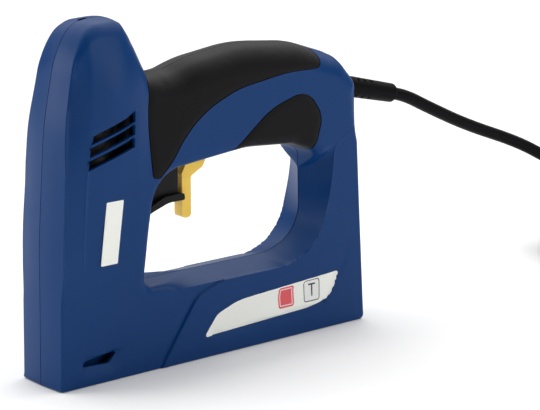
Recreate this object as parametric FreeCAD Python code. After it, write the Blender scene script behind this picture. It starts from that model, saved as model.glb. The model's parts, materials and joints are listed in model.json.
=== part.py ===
import FreeCAD, Part
import os
from math import acos, cos, pi, radians, sin, tan
from FreeCAD import Vector

# Electric stapler, in millimetres. +X points to the rear, the nose faces -X, +Z is up and
# -Y is the left side. The origin is on the standing plane, under the middle of the tool.

os.makedirs("parts", exist_ok=True)

# ---------------------------------------------------------------- driving dimensions
HALF_WIDTH = 17.35          # half the width of nose, handle, post and rail
HEAD_HALF = 21.5            # half the width of the head's bulge
WALL = 2.5                  # moulded wall of the housing
GRIP_SKIN = 2.0             # thickness of the soft grips
GRIP_WALL = 4.6             # grip and wall together, where the handle is gripped
TOP_ROUND = 12.0            # rounding of the handle's upper edges
HANDLE_FRONT, HANDLE_LOW = -41.0, 116.0     # where that rounding starts, behind and above
OPENING_ROUND = 5.0         # rounding of the hand opening's edges
HEAD_ROUND = 9.0            # rounding of the head's bulge
GAP = 0.3                   # air between parts that move past each other

# Outlines in the XZ plane: corner x, corner z, rounding radius.
BODY = [(-101, 0, 1), (101, 0, 3), (97.3, 62, 300), (94.9, 108, 50), (98.8, 131.5, 9),
        (86, 147, 22), (58, 156.3, 60), (25, 159.6, 90), (-10, 154.8, 70), (-24, 150.2, 25),
        (-40.5, 150.2, 1), (-47.5, 171, 25), (-56, 181, 9), (-78, 180.4, 16),
        (-88.4, 165, 50), (-95.6, 130, 150), (-99.6, 75, 300)]
OPENING = [(-47, 43.8, 5), (45, 43.8, 22), (68, 52, 22), (66.8, 98, 7), (52, 103.5, 14),
           (20, 106, 60), (-40, 101, 20), (-44.5, 70, 60)]
HEAD = [(-92, 104, 9), (-44.5, 104, 9), (-44.5, 138, 60), (-43, 152, 30), (-48, 170, 24),
        (-56.5, 179, 9), (-77, 178.5, 15), (-86.5, 163, 40), (-92, 136, 60)]
UPPER_GRIP = [(-40, 170, 1), (-50, 152, 1), (-45.6, 130, 80), (-42.5, 100, 1.5), (-38, 99.2, 3),
              (-30, 107, 30), (-16, 127, 60), (12, 138.5, 60), (45, 143.2, 80),
              (71.5, 143, 4), (66, 155, 3), (60, 170, 1)]
LOWER_GRIP = [(5, 98, 1), (10, 107, 20), (34, 125.5, 50), (59, 132.5, 13), (69.5, 117, 12),
              (60, 97, 3), (40, 90, 1)]
RAIL_LABEL = [(-11, 11, 1), (-2.5, 22, 8), (12, 27, 40), (81.5, 30.8, 1), (75.5, 16, 14), (60, 13.5, 30)]
HEAD_LABEL = [(-75.6, 60.4, 0.5), (-65.6, 60.4, 0.5), (-61.2, 92, 0.5), (-71.4, 92, 0.5)]
WINDOW = [(-87, 10.2, 1), (-85, 13, 1), (-75, 14.2, 4), (-64.5, 15.5, 1), (-70.5, 9.3, 3)]

LABEL_RECESS = 0.8
LABEL_THICKNESS = 0.4

# Cooling slots: the lowest and highest point of the first slot at each end, and the pitch.
SLOT_COUNT = 3
SLOT_FRONT_X, SLOT_REAR_X = -80.2, -54.8
SLOT_FRONT_Z, SLOT_REAR_Z = (121.8, 126.4), (130.6, 136.0)
SLOT_PITCH = 6.4

# Housing screws: x, z of each boss.
BOSSES = [(-50, 158), (-86, 48), (-50, 84), (-20, 33), (60, 33), (90.5, 52), (78, 121), (20, 130)]
BOSS_RADIUS = 3.4
SCREW_RADIUS = 1.5
SCREW_HEAD_RADIUS = 3.0
SCREW_HEAD_Y = 11.0         # seat of the screw heads, from the middle plane

# Solenoid and driver.
COIL_X = -70.0
YOKE_BOTTOM, YOKE_TOP = 98.0, 142.0
YOKE_HALF_X, YOKE_HALF_Y = 16.7, 13.0
YOKE_PLATE = 2.4
BOBBIN_BORE = 7.0
BOBBIN_TUBE = 8.3
WINDING_RADIUS = 13.6
FLANGE_RADIUS = 14.1
FLANGE_THICKNESS = 1.5
PLUNGER_RADIUS = 6.92
PLUNGER_BOTTOM, PLUNGER_TOP = 118.0, 166.0
CAP_RADIUS, CAP_THICKNESS = 9.4, 3.0
ROD_RADIUS = 2.5
CARRIER_BOTTOM, CARRIER_TOP = 78.0, 85.0
BLADE_FRONT, BLADE_THICKNESS, BLADE_HALF = -93.8, 1.0, 5.6
BLADE_BOTTOM = 16.7

# Magazine.
STAPLE_WIDTH, STAPLE_LEG, STAPLE_WIRE = 11.3, 12.5, 0.7
RAIL_HALF, RAIL_TOP, RAIL_SHEET = 4.7, 14.2, 0.9
CHANNEL_INNER, CHANNEL_SHEET, CHANNEL_TOP = 6.2, 1.0, 17.6
MAGAZINE_FRONT, MAGAZINE_REAR = -92.5, 91.5
END_CAP_REAR = 98.8
PUSHER_FRONT, PUSHER_LENGTH = -41.0, 16.0
GUIDE_Z = 8.0

# Trigger and its switch.
PIVOT_X, PIVOT_Z = 0.0, 110.0
PIN_RADIUS = 1.5
TRIGGER_HALF = 3.3
SWITCH_BOX = (-36.0, -14.0, 113.0, 123.0)

# Power cord.
CORD_RADIUS = 3.5
EXIT_X, EXIT_Z, EXIT_DROP = 94.5, 128.4, radians(13.2)
BOOT_LENGTH = 42.0
BOOT_ROOT, BOOT_TIP = 5.9, 5.2
COLLAR_ROOT, COLLAR_LENGTH = 14.0, 9.8       # thick end of the strain relief inside the housing
SHEATH_LENGTH = 12.0
CLAMP_X, CLAMP_SEAT, CLAMP_TOP = 76.0, 131.0, 139.4
HANK_X, HANK_RUN = 309.0, 46.0           # start and length of its straight sides
HANK_INNER, HANK_OUTER = 18.0, 32.0
HANK_LIFT, HANK_LAYERS = 0.9, 5
HANK_LEAD = 18.0
TIE_WIDTH, TIE_THICKNESS = 10.0, 0.8
TIE_HUMP = 7.0              # the tie also goes over the end that lies on top
TAIL_Z = 4.4
PLUG_X, PLUG_Y, PLUG_Z = 412.5, -14.3, 7.1
PLUG_NECK, PLUG_BODY = 8.0, 23.0
PLUG_HALF_WIDTH, PLUG_HALF_HEIGHT = 17.6, 7.0


# ---------------------------------------------------------------- helpers
def box(x0, x1, y0, y1, z0, z1):
    """Box between two corners."""
    return Part.makeBox(x1 - x0, y1 - y0, z1 - z0, Vector(x0, y0, z0))


def rod(start, direction, length, radius):
    """Round bar from a point along a direction."""
    return Part.makeCylinder(radius, length, Vector(*start), Vector(*direction))


def corner(before, point, after, radius):
    """Start, middle and end of the arc that rounds one corner, and its turn."""
    back = (before - point).normalize()
    ahead = (after - point).normalize()
    turn = pi - back.getAngle(ahead)
    reach = radius * tan(turn / 2)
    middle = (back + ahead).normalize() * (radius / cos(turn / 2) - radius)
    return point + back * reach, point + middle, point + ahead * reach


def rounded_wire(outline, y=0.0):
    """Closed wire in the XZ plane, each corner rounded by its own radius."""
    points = [Vector(x, y, z) for x, z, _ in outline]
    count = len(points)
    arcs = [corner(points[i - 1], points[i], points[(i + 1) % count], outline[i][2])
            for i in range(count)]
    edges = []
    for i in range(count):
        start, middle, end = arcs[i]
        edges.append(Part.Arc(start, middle, end).toShape())
        following = arcs[(i + 1) % count][0]
        if (following - end).Length > 1e-4:
            edges.append(Part.LineSegment(end, following).toShape())
    return Part.Wire(edges)


def prism(outline, y0, y1, grow=0.0):
    """Outline in the XZ plane, offset by grow and extruded from y0 to y1."""
    wire = rounded_wire(outline, y0)
    if grow:
        wire = wire.makeOffset2D(grow)
    return Part.Face(wire).extrude(Vector(0, y1 - y0, 0))


def polygon_prism(points, y0, y1):
    """Plain polygon in the XZ plane, extruded from y0 to y1."""
    corners = [Vector(x, y0, z) for x, z in points]
    return Part.Face(Part.makePolygon(corners + corners[:1])).extrude(Vector(0, y1 - y0, 0))


def tube(points, radius, rounding=None):
    """Tube along straight runs joined by tangent arcs; rounding None takes 0.45 of each run."""
    points = [Vector(*p) for p in points]
    edges = []
    at = points[0]
    length = 0.0
    radii = []
    for i in range(1, len(points) - 1):
        before, point, after = points[i - 1], points[i], points[i + 1]
        turn = pi - (before - point).getAngle(after - point)
        shorter = min((point - before).Length, (after - point).Length)
        bend = 0.45 * shorter / tan(turn / 2)
        if rounding:
            bend = min(bend, rounding)
        start, middle, end = corner(before, point, after, bend)
        edges.append(Part.LineSegment(at, start).toShape())
        edges.append(Part.Arc(start, middle, end).toShape())
        length += (start - at).Length + bend * turn
        radii.append(round(bend, 1))
        at = end
    edges.append(Part.LineSegment(at, points[-1]).toShape())
    length += (points[-1] - at).Length
    path = Part.Wire(edges)
    section = Part.Wire(Part.makeCircle(radius, points[0], points[1] - points[0]))
    solid = path.makePipeShell([section], True, True)
    return solid, length, radii


def spring(radius, wire, turns, start, end):
    """Coil spring between two points, its ends within the gap."""
    start, end = Vector(*start), Vector(*end)
    axis = end - start
    rise = axis.Length - 2 * wire - 0.4
    helix = Part.makeHelix(rise / turns, rise, radius)
    section = Part.Wire(Part.makeCircle(wire, Vector(radius, 0, 0), Vector(0, 1, 0)))
    solid = Part.Wire(helix.Edges).makePipeShell([section], True, True)
    place = FreeCAD.Rotation(Vector(0, 0, 1), axis)
    offset = axis.normalize() * (wire + 0.2)
    solid.Placement = FreeCAD.Placement(start + offset, place)
    return solid


def solids_of(shape):
    """A single solid as itself, several as one group."""
    parts = shape.Solids
    return parts[0] if len(parts) == 1 else Part.makeCompound(parts)


def save(name, shape):
    """Write one sub-part."""
    shape = solids_of(shape)
    if not shape.isValid() or shape.Volume <= 0:
        print("BAD SHAPE", name)
    shape.exportStep("parts/" + name + ".step")
    print(name, len(shape.Solids), round(shape.Volume))


# ---------------------------------------------------------------- housing and grips
def soften(shape, radius, edges):
    """Fillet the edges, with a smaller radius where the full one has no room."""
    for share in (1.0, 0.9, 0.8, 0.65, 0.5, 0.3):
        try:
            result = shape.makeFillet(radius * share, edges)
        except Part.OCCError:
            continue
        if result.isValid():
            return result
    print("NOT ROUNDED", radius, len(edges))
    return shape


def body_shape(inset):
    """The tool's outer form, every surface moved inwards by inset."""
    half = HALF_WIDTH - inset
    shape = prism(BODY, -half, half, -inset)
    shape = shape.cut(prism(OPENING, -half - 1, half + 1, inset))
    rim = [e for e in shape.Edges if abs(abs(e.CenterOfMass.y) - half) < 1e-3]
    around = OPENING_ROUND - inset * 0.9
    hole = [e for e in rim if -50 - inset < e.CenterOfMass.x < 70 + inset
            and 40 - inset < e.CenterOfMass.z < 107 + inset]
    shape = soften(shape, around, hole)
    rim = [e for e in shape.Edges if abs(abs(e.CenterOfMass.y) - half) < 1e-3]
    top = [e for e in rim if e.CenterOfMass.z > 139 and e.CenterOfMass.x > -41]
    # Only the handle has the round upper edges: nose, rail and post keep their sharp ones.
    overlap = 1.2 * inset
    handle = box(HANDLE_FRONT - overlap, 130, -30, 30, HANDLE_LOW - overlap, 200)
    handle_round = soften(shape, TOP_ROUND - inset * 0.9, top).common(handle)
    return shape.cut(handle).fuse(handle_round).fuse(head_shape(inset))


def head_shape(inset):
    """The rounded bulge over the solenoid."""
    half = HEAD_HALF - inset
    shape = prism(HEAD, -half, half, -inset)
    rim = [e for e in shape.Edges if abs(abs(e.CenterOfMass.y) - half) < 1e-3]
    return soften(shape, HEAD_ROUND - inset * 0.9, rim)


def cooling_slots(y0, y1):
    """The slanted slots over the coil."""
    slots = []
    for i in range(SLOT_COUNT):
        drop = i * SLOT_PITCH
        front = SLOT_FRONT_X - i
        slots.append(polygon_prism([(front, SLOT_FRONT_Z[0] - drop), (SLOT_REAR_X, SLOT_REAR_Z[0] - drop),
                                    (SLOT_REAR_X, SLOT_REAR_Z[1] - drop - 0.5 * i),
                                    (front + 1, SLOT_FRONT_Z[1] - drop)], y0, y1))
    return Part.makeCompound(slots)


def switch_direction():
    """Unit direction in which the rear slide switch travels, up along the rear face."""
    low, high = BODY[2], BODY[3]
    return Vector(high[0] - low[0], 0, high[1] - low[1]).normalize()


def make_housing():
    """Two half shells with their bosses and ribs, and the soft grips moulded on them."""
    outer = body_shape(0)
    skin = outer.cut(body_shape(GRIP_SKIN)).cut(head_shape(0))
    upper = skin.common(prism(UPPER_GRIP, -30, 30))
    lower = skin.common(prism(LOWER_GRIP, -30, 30))
    handle_zone = box(-42, 92, -30, 30, 96, 170)
    hollow = body_shape(WALL).cut(handle_zone).fuse(body_shape(GRIP_WALL))
    shell = outer.cut(hollow)

    # Ribs beside the magazine channel, under and beside the solenoid, and at the circuit board.
    inside = [box(x - 1, x + 1, s * 7.5 if s > 0 else -16, 16 if s > 0 else -7.5, 1, 22)
              for x in (-62, -34, 0, 34, 76) for s in (-1, 1)]
    for s in (-1, 1):
        near, far = sorted((s * 14.0, s * 20.5))
        inside.append(box(-78, -62, near, far, 112, 114.5))
        inside.append(box(-78, -62, near, far, 124, 126.5))
        shelf = sorted((s * 9.0, s * 16.0))
        inside.append(box(-84, -56, shelf[0], shelf[1], YOKE_BOTTOM - 2.5, YOKE_BOTTOM))
        stop = sorted((s * 3.0, s * 18.0))
        inside.append(box(-79, -61, stop[0], stop[1], PLUNGER_TOP + 7.0, 180))
    for z in (53, 93):
        inside.append(box(72, 84, 7.7, 16, z - 1, z + 1))
    inside.append(rod((PIVOT_X, -15, PIVOT_Z), (0, 1, 0), 15 - TRIGGER_HALF - 0.4, 3.2))
    inside.append(rod((PIVOT_X, 6.8, PIVOT_Z), (0, 1, 0), 8.2, 3.2))
    for x, z in BOSSES:
        inside.append(rod((x, -18, z), (0, 1, 0), 36, BOSS_RADIUS))
    for s in (-1, 1):
        pillar = sorted((s * 5.5, s * 10.0))
        inside.append(box(CLAMP_X - 3, CLAMP_X + 3, pillar[0], pillar[1], 110, CLAMP_SEAT))
    ribs = inside[0].multiFuse(inside[1:]).common(outer)
    shell = shell.fuse(ribs)

    # Openings through the wall.
    cuts = [box(-97, 92, -8, 8, -1, 18), box(80, 110, -8.6, 8.6, -1, 20.6)]
    cuts.append(prism(WINDOW, -30, 30))
    cuts.append(cooling_slots(-30, 30))
    cuts.append(box(-36.5, 4.6, -4.6, 4.6, 76, 109))
    cuts.append(rod((PIVOT_X, -TRIGGER_HALF - 0.4, PIVOT_Z), (0, 1, 0), 7.2 + TRIGGER_HALF, 4.6))
    cuts.append(rod((PIVOT_X, -13, PIVOT_Z), (0, 1, 0), 26, PIN_RADIUS))
    drop = Vector(cos(EXIT_DROP), 0, -sin(EXIT_DROP))
    exit_point = Vector(EXIT_X, 0, EXIT_Z)
    cuts.append(rod(exit_point - drop * 4, drop, 20, BOOT_ROOT))
    cuts.append(rod(exit_point - drop * COLLAR_ROOT, drop, 10, BOOT_ROOT + 2.2))
    cuts.append(slide_window())
    for s in (-1, 1):
        cuts.append(rod((CLAMP_X, s * 7.7, CLAMP_SEAT - 7), (0, 0, 1), 20, 1.25))
    for x, z in BOSSES:
        cuts.append(rod((x, -9, z), (0, 1, 0), 9, SCREW_RADIUS))
        cuts.append(rod((x, 0, z), (0, 1, 0), SCREW_HEAD_Y, SCREW_RADIUS + 0.25))
        cuts.append(rod((x, SCREW_HEAD_Y, z), (0, 1, 0), 20, SCREW_HEAD_RADIUS + 0.3))
    for s in (-1, 1):
        face = sorted((s * (HALF_WIDTH - LABEL_RECESS), s * 30))
        cuts.append(prism(RAIL_LABEL, face[0], face[1]))
    shell = shell.cut(Part.makeCompound(cuts))
    # The empty space that the slot for the magazine opens to is kept clear of the front wall.
    shell = shell.cut(box(-97, -60, -9.6, 9.6, -1, 42.3))

    left_side = box(-120, 120, -40, 0, -10, 200)
    right_side = box(-120, 120, 0, 40, -10, 200)
    body_only = shell.cut(upper).cut(lower)
    for name, side in (("left", left_side), ("right", right_side)):
        half = body_only.common(side)
        largest = max(half.Solids, key=lambda solid: solid.Volume)
        save("housing_" + name, largest)
        save("upper_grip_" + name, upper.common(side))
        save("lower_grip_" + name, lower.common(side))


def make_labels():
    """Thin printed plates: one in each rail recess and one on the head's left side."""
    floor = HALF_WIDTH - LABEL_RECESS
    save("rail_label_left", prism(RAIL_LABEL, -floor - LABEL_THICKNESS, -floor, -0.2))
    save("rail_label_right", prism(RAIL_LABEL, floor, floor + LABEL_THICKNESS, -0.2))
    save("head_label", prism(HEAD_LABEL, -HALF_WIDTH - LABEL_THICKNESS, -HALF_WIDTH))


def make_screws():
    """The housing screws, put in from the right side."""
    screws = []
    for x, z in BOSSES:
        shank = rod((x, -8.5, z), (0, 1, 0), SCREW_HEAD_Y + 8.5, SCREW_RADIUS)
        head = rod((x, SCREW_HEAD_Y, z), (0, 1, 0), 2.4, SCREW_HEAD_RADIUS)
        cross = box(x - 0.4, x + 0.4, SCREW_HEAD_Y + 1.2, SCREW_HEAD_Y + 3, z - 1.8, z + 1.8)
        screws.append(shank.fuse(head).cut(cross))
    save("housing_screws", Part.makeCompound(screws))


# ---------------------------------------------------------------- solenoid and driver
def make_solenoid():
    """Steel yoke, bobbin, winding, and the rubber stops of the plunger."""
    half_x, half_y = YOKE_HALF_X, YOKE_HALF_Y
    yoke = box(COIL_X - half_x, COIL_X + half_x, -half_y, half_y, YOKE_BOTTOM, YOKE_TOP)
    yoke = yoke.cut(box(COIL_X - half_x + YOKE_PLATE, COIL_X + half_x - YOKE_PLATE, -half_y - 1,
                        half_y + 1, YOKE_BOTTOM + YOKE_PLATE, YOKE_TOP - YOKE_PLATE))
    yoke = yoke.cut(rod((COIL_X, 0, YOKE_TOP - 5), (0, 0, 1), 10, BOBBIN_BORE))
    yoke = yoke.cut(rod((COIL_X, 0, YOKE_BOTTOM - 5), (0, 0, 1), 10, ROD_RADIUS + 0.4))
    save("solenoid_yoke", yoke)

    low, high = YOKE_BOTTOM + YOKE_PLATE, YOKE_TOP - YOKE_PLATE
    bobbin = rod((COIL_X, 0, low), (0, 0, 1), high - low, BOBBIN_TUBE)
    bobbin = bobbin.fuse(rod((COIL_X, 0, low), (0, 0, 1), FLANGE_THICKNESS, FLANGE_RADIUS))
    bobbin = bobbin.fuse(rod((COIL_X, 0, high - FLANGE_THICKNESS), (0, 0, 1), FLANGE_THICKNESS,
                             FLANGE_RADIUS))
    save("coil_bobbin", bobbin.cut(rod((COIL_X, 0, low - 1), (0, 0, 1), high - low + 2, BOBBIN_BORE)))
    winding_low, winding_high = low + FLANGE_THICKNESS, high - FLANGE_THICKNESS
    winding = rod((COIL_X, 0, winding_low), (0, 0, 1), winding_high - winding_low, WINDING_RADIUS)
    winding = winding.cut(rod((COIL_X, 0, winding_low - 1), (0, 0, 1), 60, BOBBIN_TUBE))
    save("coil_winding", winding)

    lower = rod((COIL_X, 0, low), (0, 0, 1), 1.2, BOBBIN_BORE - 0.1)
    save("lower_bumper", lower.cut(rod((COIL_X, 0, low - 1), (0, 0, 1), 4, ROD_RADIUS + 0.4)))
    top = PLUNGER_TOP + CAP_THICKNESS + 0.2
    save("top_bumper", rod((COIL_X, 0, top), (0, 0, 1), PLUNGER_TOP + 7.0 - top, 8.0))


def make_driver():
    """Plunger with its spring cap, push rod, blade carrier, blade and return spring."""
    height = PLUNGER_TOP - PLUNGER_BOTTOM
    save("plunger", rod((COIL_X, 0, PLUNGER_BOTTOM), (0, 0, 1), height, PLUNGER_RADIUS))
    save("spring_cap", rod((COIL_X, 0, PLUNGER_TOP), (0, 0, 1), CAP_THICKNESS, CAP_RADIUS))
    save("push_rod", rod((COIL_X, 0, CARRIER_TOP), (0, 0, 1), PLUNGER_BOTTOM - CARRIER_TOP, ROD_RADIUS))
    blade_rear = BLADE_FRONT + BLADE_THICKNESS
    arm = box(blade_rear, COIL_X + 5, -4, 4, CARRIER_BOTTOM, CARRIER_TOP)
    arm = arm.fuse(rod((COIL_X + 5, 0, CARRIER_BOTTOM), (0, 0, 1), CARRIER_TOP - CARRIER_BOTTOM, 4.0))
    save("blade_carrier", arm)
    blade = box(BLADE_FRONT, blade_rear, -BLADE_HALF, BLADE_HALF, BLADE_BOTTOM, CARRIER_TOP)
    save("driver_blade", blade)
    save("return_spring", spring(8.3, 0.6, 6, (COIL_X, 0, YOKE_TOP), (COIL_X, 0, PLUNGER_TOP)))


def make_nose():
    """Steel guide plate in front of the blade."""
    plate = box(BLADE_FRONT - 2.2, BLADE_FRONT - 0.2, -9, 9, 0.4, 42)
    side = [box(BLADE_FRONT - 0.2, -91.0, s * 6.2 if s > 0 else -9, 9 if s > 0 else -6.2, 18.5, 42)
            for s in (-1, 1)]
    save("nose_guide", plate.multiFuse(side))


# ---------------------------------------------------------------- magazine
def make_magazine():
    """Fixed channel, sliding rail with its end cap, staples, pusher, spring and latch."""
    outer = CHANNEL_INNER + CHANNEL_SHEET
    channel = box(MAGAZINE_FRONT, MAGAZINE_REAR, -outer, outer, 1.2, CHANNEL_TOP)
    inner = box(MAGAZINE_FRONT - 1, MAGAZINE_REAR + 1, -CHANNEL_INNER, CHANNEL_INNER, 0,
                CHANNEL_TOP - CHANNEL_SHEET)
    save("magazine_channel", channel.cut(inner))

    front = MAGAZINE_FRONT + 0.3
    rail = box(front, MAGAZINE_REAR, -RAIL_HALF, RAIL_HALF, 1.0, RAIL_TOP)
    rail = rail.cut(box(front - 1, MAGAZINE_REAR + 1, -RAIL_HALF + RAIL_SHEET, RAIL_HALF - RAIL_SHEET,
                        0, RAIL_TOP - RAIL_SHEET))
    rail = rail.cut(box(front + 4, MAGAZINE_REAR - 4, -1.6, 1.6, 10, RAIL_TOP + 1))
    save("magazine_rail", rail)

    cap = box(MAGAZINE_REAR, END_CAP_REAR, -8, 8, 1.0, 19.8)
    cap = cap.makeFillet(1.2, [e for e in cap.Edges if e.BoundBox.XMin > END_CAP_REAR - 0.1])
    cap = cap.cut(box(95.6, 97.9, -3.4, 3.4, 0, 25))
    cap = cap.cut(box(97.5, 102, -2.4, 2.4, 2.0, 13.0))
    save("magazine_end_cap", cap)
    save("guide_rod", rod((front + 2, 0, GUIDE_Z), (1, 0, 0), MAGAZINE_REAR - front - 2, 1.0))

    # Each staple is a crown and two legs; the strip is glued, with a fine groove between wires.
    half = STAPLE_WIDTH / 2
    length = PUSHER_FRONT - 0.3 - front
    strip = box(front, front + length, -half, half, RAIL_TOP + 0.1 - STAPLE_LEG + STAPLE_WIRE,
                RAIL_TOP + 0.1 + STAPLE_WIRE)
    strip = strip.cut(box(front - 1, front + length + 1, -half + STAPLE_WIRE, half - STAPLE_WIRE,
                          0, RAIL_TOP + 0.1))
    save("staple_strip", strip)

    rear = PUSHER_FRONT + PUSHER_LENGTH
    pusher = box(PUSHER_FRONT, rear, -half, half, 3.0, RAIL_TOP + 1.6)
    pusher = pusher.cut(box(PUSHER_FRONT - 1, rear + 1, -RAIL_HALF - 0.15, RAIL_HALF + 0.15, 0,
                            RAIL_TOP + 0.15))
    web = box(PUSHER_FRONT + 2, rear - 2, -1.3, 1.3, 11, RAIL_TOP + 0.5)
    block = box(PUSHER_FRONT + 2, rear - 2, -3.4, 3.4, 4.6, 11.4)
    bore = rod((PUSHER_FRONT - 5, 0, GUIDE_Z), (1, 0, 0), 40, 1.08)
    save("pusher", pusher.fuse(web).fuse(block).cut(bore))
    save("pusher_spring", spring(2.4, 0.4, 26, (rear - 2, 0, GUIDE_Z), (MAGAZINE_REAR, 0, GUIDE_Z)))

    latch = box(95.9, 97.6, -3.1, 3.1, 3.0, 20.2)
    thumb = box(97.6, 100.4, -2.1, 2.1, 4.6, 12.4)
    ridges = [box(100.0, 101, -3, 3, z, z + 0.7) for z in (6.0, 8.0, 10.0)]
    save("magazine_latch", latch.fuse(thumb).cut(Part.makeCompound(ridges)))


# ---------------------------------------------------------------- trigger, switches, wiring
def make_trigger():
    """Trigger with its pin and spring, the guard in front of it, and the switch it works."""
    lever = [(-13.8, 72.2, 2.2), (-8.0, 72.2, 2.2), (-8.0, 93.6, 2.0), (-0.2, 97.6, 1.5), (3.2, 104, 3),
             (3.2, 112, 2), (0.8, 119.4, 1), (-6.0, 119.8, 1), (-6.2, 110, 8), (-13.8, 95.6, 3)]
    shape = prism(lever, -TRIGGER_HALF, TRIGGER_HALF)
    shape = shape.fuse(rod((PIVOT_X, -TRIGGER_HALF, PIVOT_Z), (0, 1, 0), 2 * TRIGGER_HALF, 3.6))
    shape = shape.cut(rod((PIVOT_X, -10, PIVOT_Z), (0, 1, 0), 20, PIN_RADIUS + 0.06))
    save("trigger", shape)
    save("trigger_pin", rod((PIVOT_X, -12.5, PIVOT_Z), (0, 1, 0), 25, PIN_RADIUS))
    save("trigger_spring", spring(2.5, 0.35, 3, (PIVOT_X, TRIGGER_HALF + 0.1, PIVOT_Z),
                                  (PIVOT_X, 6.7, PIVOT_Z)))

    hook = [(-43.2, 73.0, 1), (-36.5, 78.6, 12), (-24.5, 82.6, 16), (-13.8, 82.6, 1.2),
            (-14.6, 86.2, 1.2), (-27, 86.0, 14), (-40.5, 80.0, 1)]
    web = [(-41.5, 79.0, 1), (-26, 84.5, 10), (-16.2, 84.5, 1), (-16.2, 104.5, 1), (-34, 104.5, 10)]
    guard = prism(web, -3.0, 3.0).fuse(prism(hook, -6.2, 6.2))
    # The hook's root is trimmed to the inner wall of the opening.
    wall = prism(OPENING, -10, 10, -0.15)
    slot = box(-36.3, 4.4, -4.3, 4.3, 76, 108.5)
    save("trigger_guard", guard.common(wall.fuse(slot)))

    x0, x1, z0, z1 = SWITCH_BOX
    body = box(x0, x1, -4, 4, z0, z1)
    body = body.cut(rod((x0 + 5, -5, z0 + 2.5), (0, 1, 0), 10, 1.3))
    body = body.cut(rod((x1 - 5, -5, z0 + 2.5), (0, 1, 0), 10, 1.3))
    body = body.cut(box(x1 - 3.2, x1 + 1, -1.6, 1.6, 116.4, 119.6))
    tabs = [box(x - 0.4, x + 0.4, -2, 2, z1, z1 + 3.5) for x in (x0 + 3, x0 + 11, x0 + 19)]
    save("trigger_switch", body.multiFuse(tabs))
    save("switch_plunger", box(x1 - 1.4, -6.6, -1.3, 1.3, 116.7, 119.3))


def slide_window():
    """Slot in the rear wall for the neck of the slide switch."""
    along = switch_direction()
    shape = box(-6, 6, -3.0, 3.0, -4.6, 10.6)
    shape.Placement = FreeCAD.Placement(Vector(95.2, 0, 79), FreeCAD.Rotation(Vector(0, 0, 1), along))
    return shape


def make_slide_switch():
    """Rear on/off switch: its body inside the post and its cap on the rear face."""
    along = switch_direction()
    turned = FreeCAD.Rotation(Vector(0, 0, 1), along)
    face = BODY[2][0] + (79 - BODY[2][1]) * along.x / along.z
    cap = box(GAP, 3.4, -10.5, 10.5, -12.5, 14.5)
    rim = [e for e in cap.Edges if e.BoundBox.XMin > 3.3]
    cap = cap.makeFillet(1.6, rim)
    neck = box(-3.6, GAP, -2.2, 2.2, -4.0, 4.0)
    cap = cap.fuse(neck)
    cap.Placement = FreeCAD.Placement(Vector(face, 0, 79), turned)
    save("slide_switch_cap", cap)
    body = box(-10.5, -4.2, -6.5, 6.5, -11, 11)
    legs = [box(-13, -10.5, y - 0.4, y + 0.4, -1.5, 1.5) for y in (-4, 0, 4)]
    body = body.multiFuse(legs)
    body.Placement = FreeCAD.Placement(Vector(face, 0, 79), turned)
    save("slide_switch_body", body)


def make_electronics():
    """Circuit board with its larger parts, and the loose wires of the housing."""
    save("circuit_board", box(72, 84.4, 6.0, 7.6, 46, 100))
    capacitor = rod((78, 0, 92), (0, 1, 0), 6, 4.4)
    triac = box(75, 82, 1.5, 6, 70, 82)
    resistor = rod((74.5, 3.4, 58), (1, 0, 0), 8, 1.6)
    dial = rod((78, 2.4, 64), (0, 1, 0), 3.6, 2.6)
    save("board_parts", Part.makeCompound([capacitor, triac, resistor, dial]))

    wires = []
    routes = [[(68.2, 1.6, 134.6), (60, 4, 136.5), (50, 6, 140), (0, 7, 137), (-14, 2, 131), (-17, 0, 126.8)],
              [(68.2, -1.6, 134.6), (60, -4, 136), (50, -7, 138), (0, -7, 135), (-20, -3, 131),
               (-25, 0, 126.8)],
              [(68.2, 0, 132.6), (64.5, 0, 128), (65.5, 0, 117), (74.5, 5, 109), (75, 6.8, 104),
               (75, 6.8, 100.4)],
              [(78, 6.8, 45.5), (76, 7, 34), (66, 8, 25.5), (0, 9, 25.0), (-50, 6, 27), (-57, 4, 40),
               (-58, 4, 97.6)]]
    for route in routes:
        wires.append(tube(route, 0.9, 6.0)[0])
    drop = Vector(cos(EXIT_DROP), 0, -sin(EXIT_DROP))
    start = Vector(EXIT_X, 0, EXIT_Z) - drop * (COLLAR_ROOT + SHEATH_LENGTH)
    sheath = Part.makeCylinder(CORD_RADIUS, SHEATH_LENGTH, start, drop)
    save("lead_wires", Part.makeCompound(wires))
    save("inner_sheath", sheath)
    bar_low = CLAMP_TOP - 2.2
    clamp = box(CLAMP_X - 3, CLAMP_X + 3, -10, 10, bar_low, CLAMP_TOP)
    sides = [box(CLAMP_X - 3, CLAMP_X + 3, s * 5.6 if s > 0 else -10, 10 if s > 0 else -5.6,
                 CLAMP_SEAT + 0.1, bar_low) for s in (-1, 1)]
    clamp = clamp.multiFuse(sides)
    holes = [rod((CLAMP_X, s * 7.7, CLAMP_SEAT - 5), (0, 0, 1), 20, 1.4) for s in (-1, 1)]
    save("cord_clamp", clamp.cut(Part.makeCompound(holes)))
    screws = []
    for s in (-1, 1):
        shank = rod((CLAMP_X, s * 7.7, CLAMP_SEAT - 6), (0, 0, 1), CLAMP_TOP - CLAMP_SEAT + 6, 1.2)
        screws.append(shank.fuse(rod((CLAMP_X, s * 7.7, CLAMP_TOP), (0, 0, 1), 1.6, 2.2)))
    save("clamp_screws", Part.makeCompound(screws))


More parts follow.
